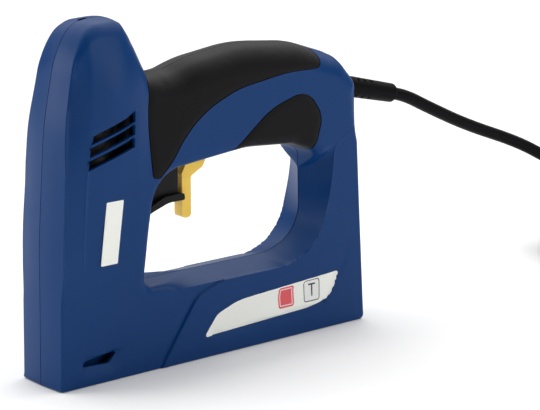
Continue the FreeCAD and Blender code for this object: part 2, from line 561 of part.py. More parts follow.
# ---------------------------------------------------------------- power cord
def oval(radius):
    """Face of the hank's outline: two straight sides joined by half circles."""
    left, right = HANK_X, HANK_X + HANK_RUN
    low, high = Vector(left, -radius, HANK_LIFT), Vector(right, radius, HANK_LIFT)
    edges = [Part.makeLine(low, Vector(right, -radius, HANK_LIFT)),
             Part.Arc(Vector(right, -radius, HANK_LIFT), Vector(right + radius, 0, HANK_LIFT), high).toShape(),
             Part.makeLine(high, Vector(left, radius, HANK_LIFT)),
             Part.Arc(Vector(left, radius, HANK_LIFT), Vector(left - radius, 0, HANK_LIFT), low).toShape()]
    return Part.Face(Part.Wire(edges))


def make_cord():
    """Strain relief, free cord, its put-away hank, ties and plug."""
    drop = Vector(cos(EXIT_DROP), 0, -sin(EXIT_DROP))
    root = Vector(EXIT_X, 0, EXIT_Z)
    boot = Part.makeCone(BOOT_ROOT - 0.05, BOOT_TIP, BOOT_LENGTH, root, drop)
    tip_edge = [e for e in boot.Edges if abs(e.Length - 2 * pi * BOOT_TIP) < 0.01]
    boot = boot.makeFillet(1.2, tip_edge)
    boot = boot.fuse(Part.makeCylinder(BOOT_ROOT + 2.0, COLLAR_LENGTH, root - drop * (COLLAR_ROOT - 0.1), drop))
    boot = boot.fuse(Part.makeCylinder(BOOT_ROOT - 0.05, 6, root - drop * 6, drop))
    across = Vector(0, 1, 0)
    over = drop.cross(across)
    notches = []
    for step in (12.5, 17.5, 22.5):
        for s in (-1, 1):
            at = root + drop * step + over * (s * (BOOT_ROOT - 1.4)) - across * 10
            notch = Part.makeCylinder(0.8, 20, at, across)
            keep = Part.makeCylinder(CORD_RADIUS + 0.8, 60, root, drop)
            notches.append(notch.cut(keep))
    save("strain_relief", boot.cut(Part.makeCompound(notches)))

    tip = root + drop * BOOT_LENGTH
    first = tip + drop * 10
    far_y = -(HANK_OUTER - CORD_RADIUS)
    top = HANK_LIFT + 2 * CORD_RADIUS * HANK_LAYERS
    end_x = HANK_X + HANK_RUN
    route = [(tip.x, 0, tip.z), (first.x, 0, first.z), (163.5, 0.3, 107.4), (196, 1.5, 92.6), (240, 2.5, 76.6),
             (262, -1, 64.5), (279, -10.5, 54.5), (294, -21.5, 46.3), (309, -28.2, 40.2),
             (HANK_X + HANK_LEAD, far_y, top + CORD_RADIUS)]
    run, length, radii = tube(route, CORD_RADIUS)
    print("cord run", [tuple(round(v, 1) for v in p) for p in route], "radii", radii)
    print("length", round(length, 1), "volume ratio", run.Volume / (pi * CORD_RADIUS ** 2 * length))
    save("cord_run", run)

    # The hank is an oval ring of layers; its upper end lies on top of one side.
    ring = oval(HANK_OUTER).extrude(Vector(0, 0, top - HANK_LIFT)).cut(oval(HANK_INNER).extrude(Vector(0, 0, 60)))
    inner_y = far_y + CORD_RADIUS
    ring = ring.cut(box(end_x, end_x + 40, -40, -10, -1, HANK_LIFT + 2 * CORD_RADIUS + 0.5))
    ring = ring.fuse(box(HANK_X + HANK_LEAD, end_x, -HANK_OUTER, inner_y, top, top + 2 * CORD_RADIUS))

    ties = []
    middle = HANK_X + HANK_LEAD + TIE_WIDTH / 2 + 2
    hump = top + TIE_HUMP
    near_side = [(-HANK_OUTER, HANK_LIFT), (-HANK_OUTER, hump), (inner_y, hump), (-HANK_INNER, top),
                 (-HANK_INNER, HANK_LIFT)]
    far_side = [(HANK_OUTER, HANK_LIFT), (HANK_OUTER, top), (HANK_INNER, top), (HANK_INNER, HANK_LIFT)]
    for section in (near_side, far_side):
        corners = [Vector(middle - TIE_WIDTH / 2, y, z) for y, z in section]
        loop = Part.makePolygon(corners + corners[:1])
        hole, rim = loop.makeOffset2D(0.1), loop.makeOffset2D(0.1 + TIE_THICKNESS)
        ties.append(Part.Face(rim).cut(Part.Face(hole)).extrude(Vector(TIE_WIDTH, 0, 0)))
    save("cord_ties", Part.makeCompound(ties))
    save("cord_hank", ring)

    tail_route = [(end_x, far_y, TAIL_Z), (366.5, -28.3, 4.4), (378.5, -24.6, 4.6), (389, -18.4, 5.2),
                  (400.5, -14.9, 6.5), (PLUG_X, PLUG_Y, PLUG_Z)]
    tail, length, radii = tube(tail_route, CORD_RADIUS)
    print("tail", tail_route, "radii", radii, "length", round(length, 1), "ratio",
          tail.Volume / (pi * CORD_RADIUS ** 2 * length))
    save("cord_tail", tail)

    neck = Part.makeCone(4.2, 5.6, PLUG_NECK, Vector(PLUG_X, PLUG_Y, PLUG_Z), Vector(1, 0, 0))
    body_x = PLUG_X + PLUG_NECK
    plug = [(-1, -0.6), (-0.8, -1), (0.8, -1), (1, -0.6), (1, 0.6), (0.8, 1), (-0.8, 1), (-1, 0.6)]
    corners = [Vector(body_x, PLUG_Y + y * PLUG_HALF_WIDTH, PLUG_Z + z * PLUG_HALF_HEIGHT) for y, z in plug]
    housing = Part.Face(Part.makePolygon(corners + corners[:1])).extrude(Vector(PLUG_BODY, 0, 0))
    ends = [e for e in housing.Edges if abs(e.CenterOfMass.x - body_x) < 0.1]
    housing = housing.makeChamfer(1.6, ends)
    save("plug_body", housing.fuse(neck))
    pins = [rod((body_x + PLUG_BODY, PLUG_Y + y, PLUG_Z), (1, 0, 0), 19, 2.0) for y in (-9.3, 9.3)]
    save("plug_pins", Part.makeCompound(pins))


make_housing()
make_labels()
make_screws()
make_solenoid()
make_driver()
make_nose()
make_magazine()
make_trigger()
make_slide_switch()
make_electronics()
make_cord()
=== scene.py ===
import bpy
import json
import numpy as np
from math import cos, pi, radians, sin
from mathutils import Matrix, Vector
from mathutils.geometry import delaunay_2d_cdt
from mathutils.kdtree import KDTree


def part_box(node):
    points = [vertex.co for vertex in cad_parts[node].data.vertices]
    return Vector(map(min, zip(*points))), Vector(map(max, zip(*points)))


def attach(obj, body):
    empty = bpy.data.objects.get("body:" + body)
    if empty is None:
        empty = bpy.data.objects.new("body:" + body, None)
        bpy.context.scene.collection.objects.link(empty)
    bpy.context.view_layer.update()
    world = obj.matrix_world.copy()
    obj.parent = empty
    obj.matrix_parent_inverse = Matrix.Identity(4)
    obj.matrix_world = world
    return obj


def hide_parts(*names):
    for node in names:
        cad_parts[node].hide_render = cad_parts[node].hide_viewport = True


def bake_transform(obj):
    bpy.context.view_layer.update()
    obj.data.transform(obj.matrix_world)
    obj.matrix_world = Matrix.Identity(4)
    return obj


# Electric stapler. Outlines are in millimetres in the XZ plane, like the part's own drawing;
# MM turns them into metres when a mesh is made.
MM = 0.001
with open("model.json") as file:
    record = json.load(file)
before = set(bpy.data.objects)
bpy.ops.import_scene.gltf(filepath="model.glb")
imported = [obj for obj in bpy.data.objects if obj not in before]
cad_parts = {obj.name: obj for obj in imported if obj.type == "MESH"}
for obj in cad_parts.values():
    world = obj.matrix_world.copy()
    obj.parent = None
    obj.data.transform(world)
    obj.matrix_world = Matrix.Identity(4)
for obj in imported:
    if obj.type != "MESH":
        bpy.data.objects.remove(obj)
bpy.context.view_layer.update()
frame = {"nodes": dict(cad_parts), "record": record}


# ---------------------------------------------------------------- camera and studio
CAMERA_AT = (-0.67318, -0.85353, 0.34138)
CAMERA_AZIMUTH, CAMERA_ELEVATION = radians(-40.186), radians(13.704)
LENS = 144.3
OBJECT_MIDDLE = (0.0, 0.0, 0.09)


def make_camera():
    """The camera at the photograph's viewing angle."""
    data = bpy.data.cameras.new("view")
    data.lens = LENS
    data.sensor_width = 36.0
    data.clip_end = 50.0
    camera = bpy.data.objects.new("view", data)
    level = cos(CAMERA_ELEVATION)
    look = Vector((-sin(CAMERA_AZIMUTH) * level, cos(CAMERA_AZIMUTH) * level, -sin(CAMERA_ELEVATION)))
    camera.location = CAMERA_AT
    camera.rotation_euler = look.to_track_quat("-Z", "Y").to_euler()
    bpy.context.scene.collection.objects.link(camera)
    bpy.context.scene.camera = camera


# Name, direction from the object, power.
LIGHTS = [("side_box", (0.35, -0.90, 0.25), 3.3), ("back_left_box", (-0.78, 0.60, 0.25), 5.5)]
LIGHT_DISTANCE, LIGHT_SIZE = 1.3, 0.6


def add_light(name, direction, power):
    """A soft box that faces the object from a direction."""
    data = bpy.data.lights.new(name, "AREA")
    data.shape = "SQUARE"
    data.size = LIGHT_SIZE
    data.energy = power
    light = bpy.data.objects.new(name, data)
    away = Vector(direction).normalized()
    light.location = Vector(OBJECT_MIDDLE) + away * LIGHT_DISTANCE
    light.rotation_euler = (-away).to_track_quat("-Z", "Y").to_euler()
    light.visible_camera = False
    bpy.context.scene.collection.objects.link(light)


# Brightness of the room: direction, the range of its cosine, and the strength at each end.
ROOM = [((0.0, 0.05, 1.0), 0.15, 0.85, 0.10, 2.5),
        ((-0.62, -0.76, 0.22), -0.1, 0.80, 1.0, 0.05)]
FLOOR_HALF = 9.0


def make_studio():
    """Pale floor, soft boxes and a bright room that is darker on one side."""
    scene = bpy.context.scene
    scene.view_settings.view_transform = "Standard"
    world = bpy.data.worlds.new("studio")
    scene.world = world
    world.use_nodes = True
    nodes, links = world.node_tree.nodes, world.node_tree.links
    background = nodes["Background"]
    coordinates = nodes.new("ShaderNodeTexCoord")
    strengths = []
    for direction, start, end, low, high in ROOM:
        dot = nodes.new("ShaderNodeVectorMath")
        dot.operation = "DOT_PRODUCT"
        dot.inputs[1].default_value = Vector(direction).normalized()
        ramp = nodes.new("ShaderNodeMapRange")
        ramp.interpolation_type = "SMOOTHSTEP"
        for socket, value in zip(("From Min", "From Max", "To Min", "To Max"), (start, end, low, high)):
            ramp.inputs[socket].default_value = value
        links.new(coordinates.outputs["Generated"], dot.inputs[0])
        links.new(dot.outputs["Value"], ramp.inputs["Value"])
        strengths.append(ramp.outputs["Result"])
    product = nodes.new("ShaderNodeMath")
    product.operation = "MULTIPLY"
    links.new(strengths[0], product.inputs[0])
    links.new(strengths[1], product.inputs[1])
    links.new(product.outputs["Value"], background.inputs["Strength"])
    background.inputs["Color"].default_value = (1.0, 1.0, 1.0, 1.0)

    floor = flat_square("floor", FLOOR_HALF)
    floor.data.materials.append(plain("floor_paper", (0.93, 0.93, 0.93), 0.9))
    for name, direction, power in LIGHTS:
        add_light(name, direction, power)


def link(obj):
    """Put an object in the scene."""
    bpy.context.scene.collection.objects.link(obj)
    return obj


def flat_square(name, half):
    """Flat square in the plane z = 0."""
    mesh = bpy.data.meshes.new(name)
    corners = [(-half, -half, 0), (half, -half, 0), (half, half, 0), (-half, half, 0)]
    mesh.from_pydata(corners, [], [(0, 1, 2, 3)])
    return link(bpy.data.objects.new(name, mesh))


# ---------------------------------------------------------------- materials
def plain(name, colour, rough):
    """Matte material of one colour, for the floor."""
    material = bpy.data.materials.new(name)
    material.use_nodes = True
    shader = material.node_tree.nodes["Principled BSDF"]
    shader.inputs["Base Color"].default_value = (*colour, 1.0)
    shader.inputs["Roughness"].default_value = rough
    shader.inputs["Specular IOR Level"].default_value = 0.0
    return material


BROAD_SCALE = 60.0      # scale of the broad noise, in cells per metre
GLOSS_SPREAD = 0.08     # how far the roughness strays either way
GRAIN_DEPTH = 0.3       # depth of the grain as a share of its size
SOFT_RADIUS, SOFT_SCALE = (1.0, 0.35, 0.1), 0.002       # how light spreads under a soft surface


def noise(nodes, links, mapping, scale, detail):
    """Noise over the object's own space."""
    texture = nodes.new("ShaderNodeTexNoise")
    texture.inputs["Scale"].default_value = scale
    texture.inputs["Detail"].default_value = detail
    links.new(mapping.outputs["Vector"], texture.inputs["Vector"])
    return texture


def finish(name, colour, rough, grain=0.3, bump=0.2, vary=0.12, metal=0.0, stretch=(1, 1, 1),
           coat=0.0, soft=0.0, shine=0.5, sheen=0.0):
    """Procedural finish: colour patches, a fine grain of that size in mm, and uneven gloss."""
    material = bpy.data.materials.new(name)
    material.use_nodes = True
    nodes, links = material.node_tree.nodes, material.node_tree.links
    shader = nodes["Principled BSDF"]
    shader.inputs["Metallic"].default_value = metal
    shader.inputs["Coat Weight"].default_value = coat
    shader.inputs["Specular IOR Level"].default_value = shine
    shader.inputs["Sheen Weight"].default_value = sheen
    shader.inputs["Sheen Roughness"].default_value = 0.5
    if soft:
        shader.inputs["Subsurface Weight"].default_value = soft
        shader.inputs["Subsurface Radius"].default_value = SOFT_RADIUS
        shader.inputs["Subsurface Scale"].default_value = SOFT_SCALE
    coordinates = nodes.new("ShaderNodeTexCoord")
    mapping = nodes.new("ShaderNodeMapping")
    mapping.inputs["Scale"].default_value = stretch
    links.new(coordinates.outputs["Object"], mapping.inputs["Vector"])

    fine = noise(nodes, links, mapping, 1.0 / (grain * MM), 2.0)
    broad = noise(nodes, links, mapping, BROAD_SCALE, 4.0)

    mix = nodes.new("ShaderNodeMix")
    mix.data_type = "RGBA"
    blend = nodes.new("ShaderNodeMath")
    blend.operation = "MULTIPLY_ADD"
    blend.inputs[1].default_value = 0.5
    links.new(fine.outputs["Fac"], blend.inputs[0])
    half = nodes.new("ShaderNodeMath")
    half.operation = "MULTIPLY"
    half.inputs[1].default_value = 0.5
    links.new(broad.outputs["Fac"], half.inputs[0])
    links.new(half.outputs["Value"], blend.inputs[2])
    links.new(blend.outputs["Value"], mix.inputs["Factor"])
    mix.inputs["A"].default_value = (*[c * (1 - vary) for c in colour], 1.0)
    mix.inputs["B"].default_value = (*[min(1.0, c * (1 + vary)) for c in colour], 1.0)
    links.new(mix.outputs["Result"], shader.inputs["Base Color"])

    gloss = nodes.new("ShaderNodeMapRange")
    gloss.inputs["To Min"].default_value = max(0.05, rough - GLOSS_SPREAD)
    gloss.inputs["To Max"].default_value = min(1.0, rough + GLOSS_SPREAD)
    links.new(broad.outputs["Fac"], gloss.inputs["Value"])
    links.new(gloss.outputs["Result"], shader.inputs["Roughness"])

    bumps = nodes.new("ShaderNodeBump")
    bumps.inputs["Strength"].default_value = bump
    bumps.inputs["Distance"].default_value = grain * MM * GRAIN_DEPTH
    links.new(fine.outputs["Fac"], bumps.inputs["Height"])
    links.new(bumps.outputs["Normal"], shader.inputs["Normal"])
    return material


FINISHES = {
    "blue_housing": finish("moulded_blue", (0.0035, 0.040, 0.158), 0.34, 0.35, 0.30, 0.10, shine=0.13),
    "grip_rubber": finish("grip_black", (0.0035, 0.0035, 0.0045), 0.44, 0.25, 0.45, 0.20, shine=0.05,
                          sheen=0.12),
    "label_print": finish("label_film", (0.93, 0.94, 0.88), 0.30, 0.20, 0.05, 0.02, coat=0.2),
    "zinc_screw": finish("zinc_screw", (0.50, 0.50, 0.48), 0.34, 0.4, 0.2, 0.15, metal=1.0),
    "laminated_steel": finish("laminated_steel", (0.20, 0.20, 0.21), 0.45, 0.5, 0.4, 0.2, metal=1.0,
                              stretch=(1, 3, 0.1)),
    "nylon": finish("nylon_green", (0.05, 0.12, 0.06), 0.45, 0.4, 0.2, 0.15),
    "copper_winding": finish("copper_enamel", (0.48, 0.17, 0.06), 0.28, 0.5, 0.8, 0.2, metal=1.0,
                             stretch=(0.02, 0.02, 1)),
    "bumper_rubber": finish("bumper_rubber", (0.03, 0.03, 0.03), 0.65, 0.4, 0.4, 0.2),
    "bright_steel": finish("bright_steel", (0.56, 0.56, 0.57), 0.25, 0.3, 0.25, 0.1, metal=1.0,
                           stretch=(1, 1, 0.08)),
    "spring_steel": finish("spring_steel", (0.42, 0.42, 0.43), 0.30, 0.2, 0.15, 0.1, metal=1.0),
    "zinc_plated_sheet": finish("zinc_sheet", (0.52, 0.52, 0.51), 0.36, 0.8, 0.25, 0.2, metal=1.0,
                                stretch=(0.15, 1, 1)),
    "staple_wire": finish("staple_wire", (0.66, 0.66, 0.66), 0.26, 0.3, 0.9, 0.15, metal=1.0,
                          stretch=(1, 0.02, 0.02)),
    "black_plastic": finish("black_plastic", (0.006, 0.005, 0.006), 0.38, 0.35, 0.3, 0.2, shine=0.14),
    "yellow_plastic": finish("trigger_yellow", (1.0, 0.63, 0.07), 0.32, 0.5, 0.12, 0.04, soft=0.35),
    "switch_button": finish("switch_red", (0.45, 0.03, 0.02), 0.35, 0.4, 0.2, 0.1),
    "wire_insulation": finish("wire_blue", (0.03, 0.09, 0.30), 0.35, 0.5, 0.15, 0.15),
    "cord_rubber": finish("cord_rubber", (0.004, 0.004, 0.005), 0.46, 0.3, 0.25, 0.2, shine=0.05),
    "plug_pin_metal": finish("pin_nickel", (0.62, 0.60, 0.52), 0.22, 0.3, 0.15, 0.08, metal=1.0,
                             stretch=(0.1, 1, 1)),
}
RED_PRINT = finish("print_red", (0.78, 0.06, 0.08), 0.32, 0.2, 0.05, 0.04, coat=0.3)
DARK_PRINT = finish("print_dark", (0.02, 0.02, 0.022), 0.32, 0.2, 0.05, 0.10, coat=0.3)
WHITE_PRINT = finish("print_white", (0.86, 0.86, 0.84), 0.32, 0.2, 0.05, 0.03, coat=0.3)


def dress(obj, slot):
    """Give a piece the finish of one of the record's slots."""
    obj.data.materials.clear()
    obj.data.materials.append(FINISHES[slot])


def dress_frame():
    """Every CAD node gets the finish of its slot in the record."""
    for part in frame["record"]["subparts"]:
        obj = frame["nodes"][part["node"]]
        for place in obj.material_slots:
            place.link = "OBJECT"
            place.material = FINISHES[part["material_slot"]]


# ---------------------------------------------------------------- outlines
# Corner x, corner z, rounding radius.
BODY = [(-101, 0, 1), (101, 0, 3), (97.3, 62, 300), (94.9, 108, 50), (98.8, 131.5, 9),
        (86, 147, 22), (58, 156.3, 60), (25, 159.6, 90), (-10, 154.8, 70), (-24, 150.2, 25),
        (-40.5, 150.2, 1), (-49.8, 171, 25), (-57, 181, 9), (-78, 180.4, 16),
        (-88.4, 165, 50), (-95.6, 130, 150), (-99.6, 75, 300)]
OPENING = [(-47, 43.8, 5), (45, 43.8, 22), (68, 52, 22), (66.8, 98, 7), (52, 103.5, 14),
           (20, 106, 60), (-40, 101, 20), (-44.5, 70, 60)]
UPPER_GRIP = [(-28, 175, 1), (-43.5, 152.5, 1), (-45.6, 130, 80), (-42.5, 100, 1.5), (-38, 99.2, 3),
              (-30, 107, 30), (-16, 127, 60), (12, 138.5, 60), (45, 143.2, 80),
              (71.5, 143, 4), (66, 155, 3), (60, 175, 1)]
LOWER_GRIP = [(5, 96, 1), (10, 107, 20), (34, 125.5, 50), (59, 132.5, 13), (69.5, 117, 12),
              (62, 92, 3), (40, 88, 1)]
RAIL_LABEL = [(-11, 11, 1), (-2.5, 22, 8), (12, 27, 40), (81.5, 30.8, 1), (75.5, 16, 14),
              (60, 13.5, 30)]
RED_SIGN = [(39.5, 16.6, 1.6), (50.3, 16.6, 1.6), (50.3, 28.0, 1.6), (39.5, 28.0, 1.6)]
PALE_SIGN = [(57.2, 16.8, 1.6), (68.4, 16.8, 1.6), (68.4, 28.8, 1.6), (57.2, 28.8, 1.6)]
NAIL = [(62.4, 20.4, 0.1), (62.9, 19.2, 0.1), (63.4, 20.4, 0.1), (63.4, 25.8, 0.1), (65.3, 25.8, 0.1),
        (65.3, 26.7, 0.1), (60.5, 26.7, 0.1), (60.5, 25.8, 0.1), (62.4, 25.8, 0.1)]
FRAME_FROM, FRAME_TO = 1.0, 1.5             # the white frame in the red sign, from its edge
SIGN_BORDER = 0.55
WINDOW = [(-87, 10.2, 1), (-85, 13, 1), (-75, 14.2, 4), (-64.5, 15.5, 1), (-70.5, 9.3, 3)]

# The lip of the cove round the hand opening, and the step from head to rail.
COVE_EDGE = [(-32, 39.6, 1), (46, 39.6, 22), (67.5, 47, 30), (76, 78, 100), (78.2, 100, 8), (97, 110, 1)]
STEP_EDGE = [(-40, -1, 1), (-15.5, 34, 14), (2, 39.6, 1)]
# The crease from the head's front, round the louvre field.
HEAD_CREASE = [(-85.6, 54, 1), (-84.6, 80, 90), (-83.2, 102, 90), (-80.8, 124, 6), (-54.5, 137, 1)]
SCOOP_EDGE = [(-89.5, 12, 1), (-88.5, 4.5, 3), (-66, 3.8, 8), (-57, 14, 12), (-51, 28, 1)]
LABEL_TAIL = [(68.6, 10.8, 1), (76.8, 13.5, 12), (82.8, 21, 12), (84.1, 30.8, 20), (87.2, 39.6, 30),
              (89.9, 51.2, 1)]

HALF_WIDTH = 17.35
# Three louvre slots, each lower and a little further forward than the one above it.
SLOTS = [[(-80.2 - i, 121.8 - 6.4 * i), (-54.8, 130.6 - 6.4 * i), (-54.8, 136.0 - 6.9 * i),
          (-79.2 - i, 126.4 - 6.4 * i)] for i in range(3)]
# Screws of the right half, x and z.
SCREWS = [(-50, 158), (-86, 48), (-50, 84), (-20, 33), (60, 33), (90.5, 52), (78, 121), (20, 130)]
SCREW_HOLE, HOLE_ROUND = 3.4, 24


def rounded(outline, closed=True, step=1.2):
    """Polyline of an outline whose corners are rounded by their own radius."""
    count = len(outline)
    corners = [np.array(c[:2], float) for c in outline]
    path = []
    for i, point in enumerate(corners):
        radius = outline[i][2]
        if not closed and i in (0, count - 1):
            path.append(point)
            continue
        back = corners[i - 1] - point
        ahead = corners[(i + 1) % count] - point
        back, ahead = back / np.linalg.norm(back), ahead / np.linalg.norm(ahead)
        turn = pi - np.arccos(np.clip(back @ ahead, -1, 1))
        reach = radius * np.tan(turn / 2)
        bisector = (back + ahead) / np.linalg.norm(back + ahead)
        centre = point + bisector * radius / cos(turn / 2)
        spoke = point + back * reach - centre
        other = point + ahead * reach - centre
        sense = np.sign(spoke[0] * other[1] - spoke[1] * other[0])
        pieces = max(3, int(radius * turn / step) + 1)
        for j in range(pieces + 1):
            a = sense * turn * j / pieces
            path.append(centre + np.array([spoke[0] * cos(a) - spoke[1] * sin(a),
                                           spoke[0] * sin(a) + spoke[1] * cos(a)]))
    path = np.array(path)
    return resample(path, closed, step)


def resample(path, closed, step):
    """The same polyline, its long runs divided."""
    result = []
    count = len(path)
    for i in range(count if closed else count - 1):
        a, b = path[i], path[(i + 1) % count]
        length = np.linalg.norm(b - a)
        if length < 1e-4:
            continue
        pieces = max(1, int(round(length / step)))
        result += [a + (b - a) * j / pieces for j in range(pieces)]
    if not closed:
        result.append(path[-1])
    return np.array(result)


BATCH = 2000            # points measured at a time


def nearest(points, line, closed=False):
    """Distance from each point to a polyline, and the length along it of the nearest place."""
    a = line if closed else line[:-1]
    b = np.roll(line, -1, 0) if closed else line[1:]
    run = b - a
    square = np.maximum(np.einsum("ij,ij->i", run, run), 1e-12)
    start = np.concatenate([[0], np.cumsum(np.sqrt(square))])[:-1]
    distance, along = np.empty(len(points)), np.empty(len(points))
    for i in range(0, len(points), BATCH):
        gap = points[i:i + BATCH, None] - a[None]
        share = np.clip(np.einsum("ijk,jk->ij", gap, run) / square, 0, 1)
        gap = gap - share[..., None] * run
        away = np.einsum("ijk,ijk->ij", gap, gap)
        best = away.argmin(1)
        rows = np.arange(len(best))
        distance[i:i + BATCH] = np.sqrt(away[rows, best])
        along[i:i + BATCH] = start[best] + share[rows, best] * np.sqrt(square[best])
    return distance, along


def inside(points, polygon):
    """True for each point that lies in a closed polygon."""
    x, z = points[:, 0], points[:, 1]
    result = np.zeros(len(points), bool)
    for (x0, z0), (x1, z1) in zip(polygon, np.roll(polygon, -1, 0)):
        if z0 == z1:
            continue
        crosses = (z0 > z) != (z1 > z)
        result ^= crosses & (x < (x1 - x0) * (z - z0) / (z1 - z0) + x0)
    return result


def sideways(line, closed):
    """Unit normals of a polyline, to the left of its direction."""
    if closed:
        tangent = np.roll(line, -1, 0) - np.roll(line, 1, 0)
    else:
        tangent = np.gradient(line, axis=0)
    tangent = tangent / np.linalg.norm(tangent, axis=1)[:, None]
    return np.stack([-tangent[:, 1], tangent[:, 0]], 1)


def into_material(line, sense):
    """Unit normals of a closed outline, inwards for a sense of 1 and outwards for -1."""
    area = np.sum(line[:, 0] * np.roll(line[:, 1], -1) - line[:, 1] * np.roll(line[:, 0], -1))
    return sideways(line, True) * np.sign(area) * sense


def search_tree(points):
    """Tree of points in the XZ plane."""
    tree = KDTree(len(points))
    for i, (x, z) in enumerate(points):
        tree.insert((x, z, 0), i)
    tree.balance()
    return tree


def parallel(line, offset, closed=False):
    """Polyline beside another; a place too close to a bend is left out."""
    moved = line + sideways(line, closed) * offset
    keep = nearest(moved, line, closed)[0] > abs(offset) * 0.96 - 1e-6
    return moved[keep]


def smooth(low, high, value):
    """Smooth step from 0 at low to 1 at high."""
    t = np.clip((value - low) / (high - low), 0, 1)
    return t * t * (3 - 2 * t)


def table(value, pairs):
    """Interpolation in a short list of places and their values."""
    places, values = zip(*pairs)
    return np.interp(value, places, values)


def keyed(line, keys):
    """For a closed polyline, each key's values spread along its length."""
    steps = np.linalg.norm(np.roll(line, -1, 0) - line, axis=1)
    total = steps.sum()
    spots = np.array([key[:2] for key in keys], float)
    place = nearest(spots, line, True)[1]
    order = np.argsort(place)
    place = place[order]
    values = np.array([key[2:] for key in keys], float)[order]
    return place, values, total


def spread(along, keys):
    """Values of the keys at a length along the polyline."""
    place, values, total = keys
    return [np.interp(along, place, values[:, i], period=total) for i in range(values.shape[1])]


# ---------------------------------------------------------------- housing surface
body_line = rounded(BODY)
opening_line = rounded(OPENING)
cove_line = rounded(COVE_EDGE, False, 1.0)
step_line = rounded(STEP_EDGE, False, 1.0)
crease_line = rounded(HEAD_CREASE, False, 1.0)
scoop_line = rounded(SCOOP_EDGE, False, 0.8)
tail_line = rounded(LABEL_TAIL, False, 1.0)
label_line = rounded(RAIL_LABEL, True, 1.0)
window_line = rounded(WINDOW, True, 0.7)
upper_line = rounded(UPPER_GRIP, True, 1.0)
lower_line = rounded(LOWER_GRIP, True, 1.0)
red_line = rounded(RED_SIGN, True, 0.8)
pale_line = rounded(PALE_SIGN, True, 0.8)
nail_line = rounded(NAIL, True, 0.6)
slot_lines = [resample(np.array(slot, float), True, 1.0) for slot in SLOTS]
screw_lines = [np.array([(x + SCREW_HOLE * cos(a), z + SCREW_HOLE * sin(a))
                         for a in np.linspace(0, 2 * pi, HOLE_ROUND, endpoint=False)])
                for x, z in SCREWS]

# x, z, crown of the end wall, radius of its edge.
BODY_KEYS = keyed(body_line, [
    (-101, 3, 1.1, 0.7), (-97.5, 0, 0.12, 0.7), (98, 0, 0.12, 0.8), (101, 4, 0.4, 1.0),
    (97.3, 62, 0.4, 1.2), (95, 100, 0.4, 1.6), (95.5, 110, 0.4, 5), (97.8, 125, 0.6, 10),
    (86, 147, 0.6, 12.5), (25, 159.6, 0.6, 13), (-33, 150.2, 0.6, 12), (-41.5, 152, 0.6, 9),
    (-47.5, 171, 0.6, 11), (-56, 181, 0.8, 7), (-78, 180.4, 1.2, 6), (-86, 168, 1.5, 3),
    (-89.5, 157, 1.5, 1.4), (-95.6, 130, 1.5, 1.0), (-98.6, 100, 2.0, 0.9), (-99.8, 60, 1.9, 0.8),
    (-100.2, 40, 1.1, 0.7)])
OPENING_KEYS = keyed(opening_line, [
    (-45, 48, 0.3, 4.5), (-30, 43.8, 0.3, 6), (45, 43.8, 0.3, 5), (68, 75, 0.3, 5),
    (66, 99, 0.3, 6), (30, 106, 0.3, 6), (-20, 103, 0.3, 4), (-44, 97, 0.3, 3), (-44.5, 70, 0.3, 3)])
WALL_RINGS = [0.0, 1 / 9, 4 / 9, 1.0]
ARC_RINGS = [1 - cos(radians(a)) for a in (15, 30, 45, 60, 75, 90)]


def edge_profile(distance, crown, radius):
    """Share of the half width reached at a distance from an outline: crowned wall, then an arc."""
    wall = HALF_WIDTH - radius
    rising = wall * np.sqrt(np.clip(distance / crown, 0, 1))
    share = np.clip((distance - crown) / radius, 0, 1)
    rounded_part = radius * np.sqrt(np.clip(1 - (1 - share) ** 2, 0, 1))
    return (rising + np.where(distance > crown, rounded_part, 0)) / HALF_WIDTH


TINY = 1e-6
# Areas on one side of those lines, each closed by a few more corners.
panel_area = np.vstack([step_line, cove_line[cove_line[:, 0] > 3], [(110, 112), (110, -5)]])
cove_area = np.vstack([cove_line, [(110, 125), (60, 98), (0, 70), (-42, 60), (-46, 44)]])
crease_area = np.vstack([crease_line, [(-44, 140), (-44, 40), (-88, 40)]])
# The label's upper edge, and its lower edge with its rear end.
label_top = label_line[(label_line[:, 1] > 10.9 + (label_line[:, 0] + 11) * 0.06)
                       & (label_line[:, 0] < 81)]
label_low = label_line[(label_line[:, 1] <= 11.5 + (label_line[:, 0] + 11) * 0.075)
                       | (label_line[:, 0] > 74)]


# The head by height: half width at the lip behind its front and on its flat side, depth of the valley
# between them, height of the bulge, and where its crease stands.
LIP_HALF = [(0, 16.6), (45, 16.8), (60, 18.2), (85, 18.2), (110, 17.6), (125, 16.7), (145, 15.4),
            (160, 14.6), (178, 13.6)]
FLAT_HALF = [(0, 16.6), (45, 16.6), (62, 17.0), (100, 17.3), (150, 17.3), (165, 16.2), (180, 14.0)]
VALLEY_DEPTH = [(48, 0), (60, 0.5), (80, 1.4), (100, 2.3), (130, 2.8), (150, 2.4), (162, 1.2), (172, 0)]
BULGE_RISE = [(52, 0), (80, 0.1), (100, 0.8), (112, 2.0), (130, 3.9), (145, 4.0), (158, 3.2), (170, 1.6),
              (181, 0.2)]
CREASE_X = [(50, -85.6), (80, -84.6), (102, -83.2), (120, -81.4), (134, -79.8), (180, -78)]
VALLEY_LENGTH = 10.5
FRONT_LIP, LIP_DROP = 1.9, 0.9      # distance of the lip from the front, length of the drop behind it
HEAD_REAR = -45.0
# Shares of the bulge's rise at the crease and at the rear, and the share added halfway.
CREASE_SHARE, REAR_SHARE, MIDDLE_SHARE = 0.30, 0.10, 0.80
FOOT_HALF = 16.6                    # half width of the head's foot and of the lowest part of the rail


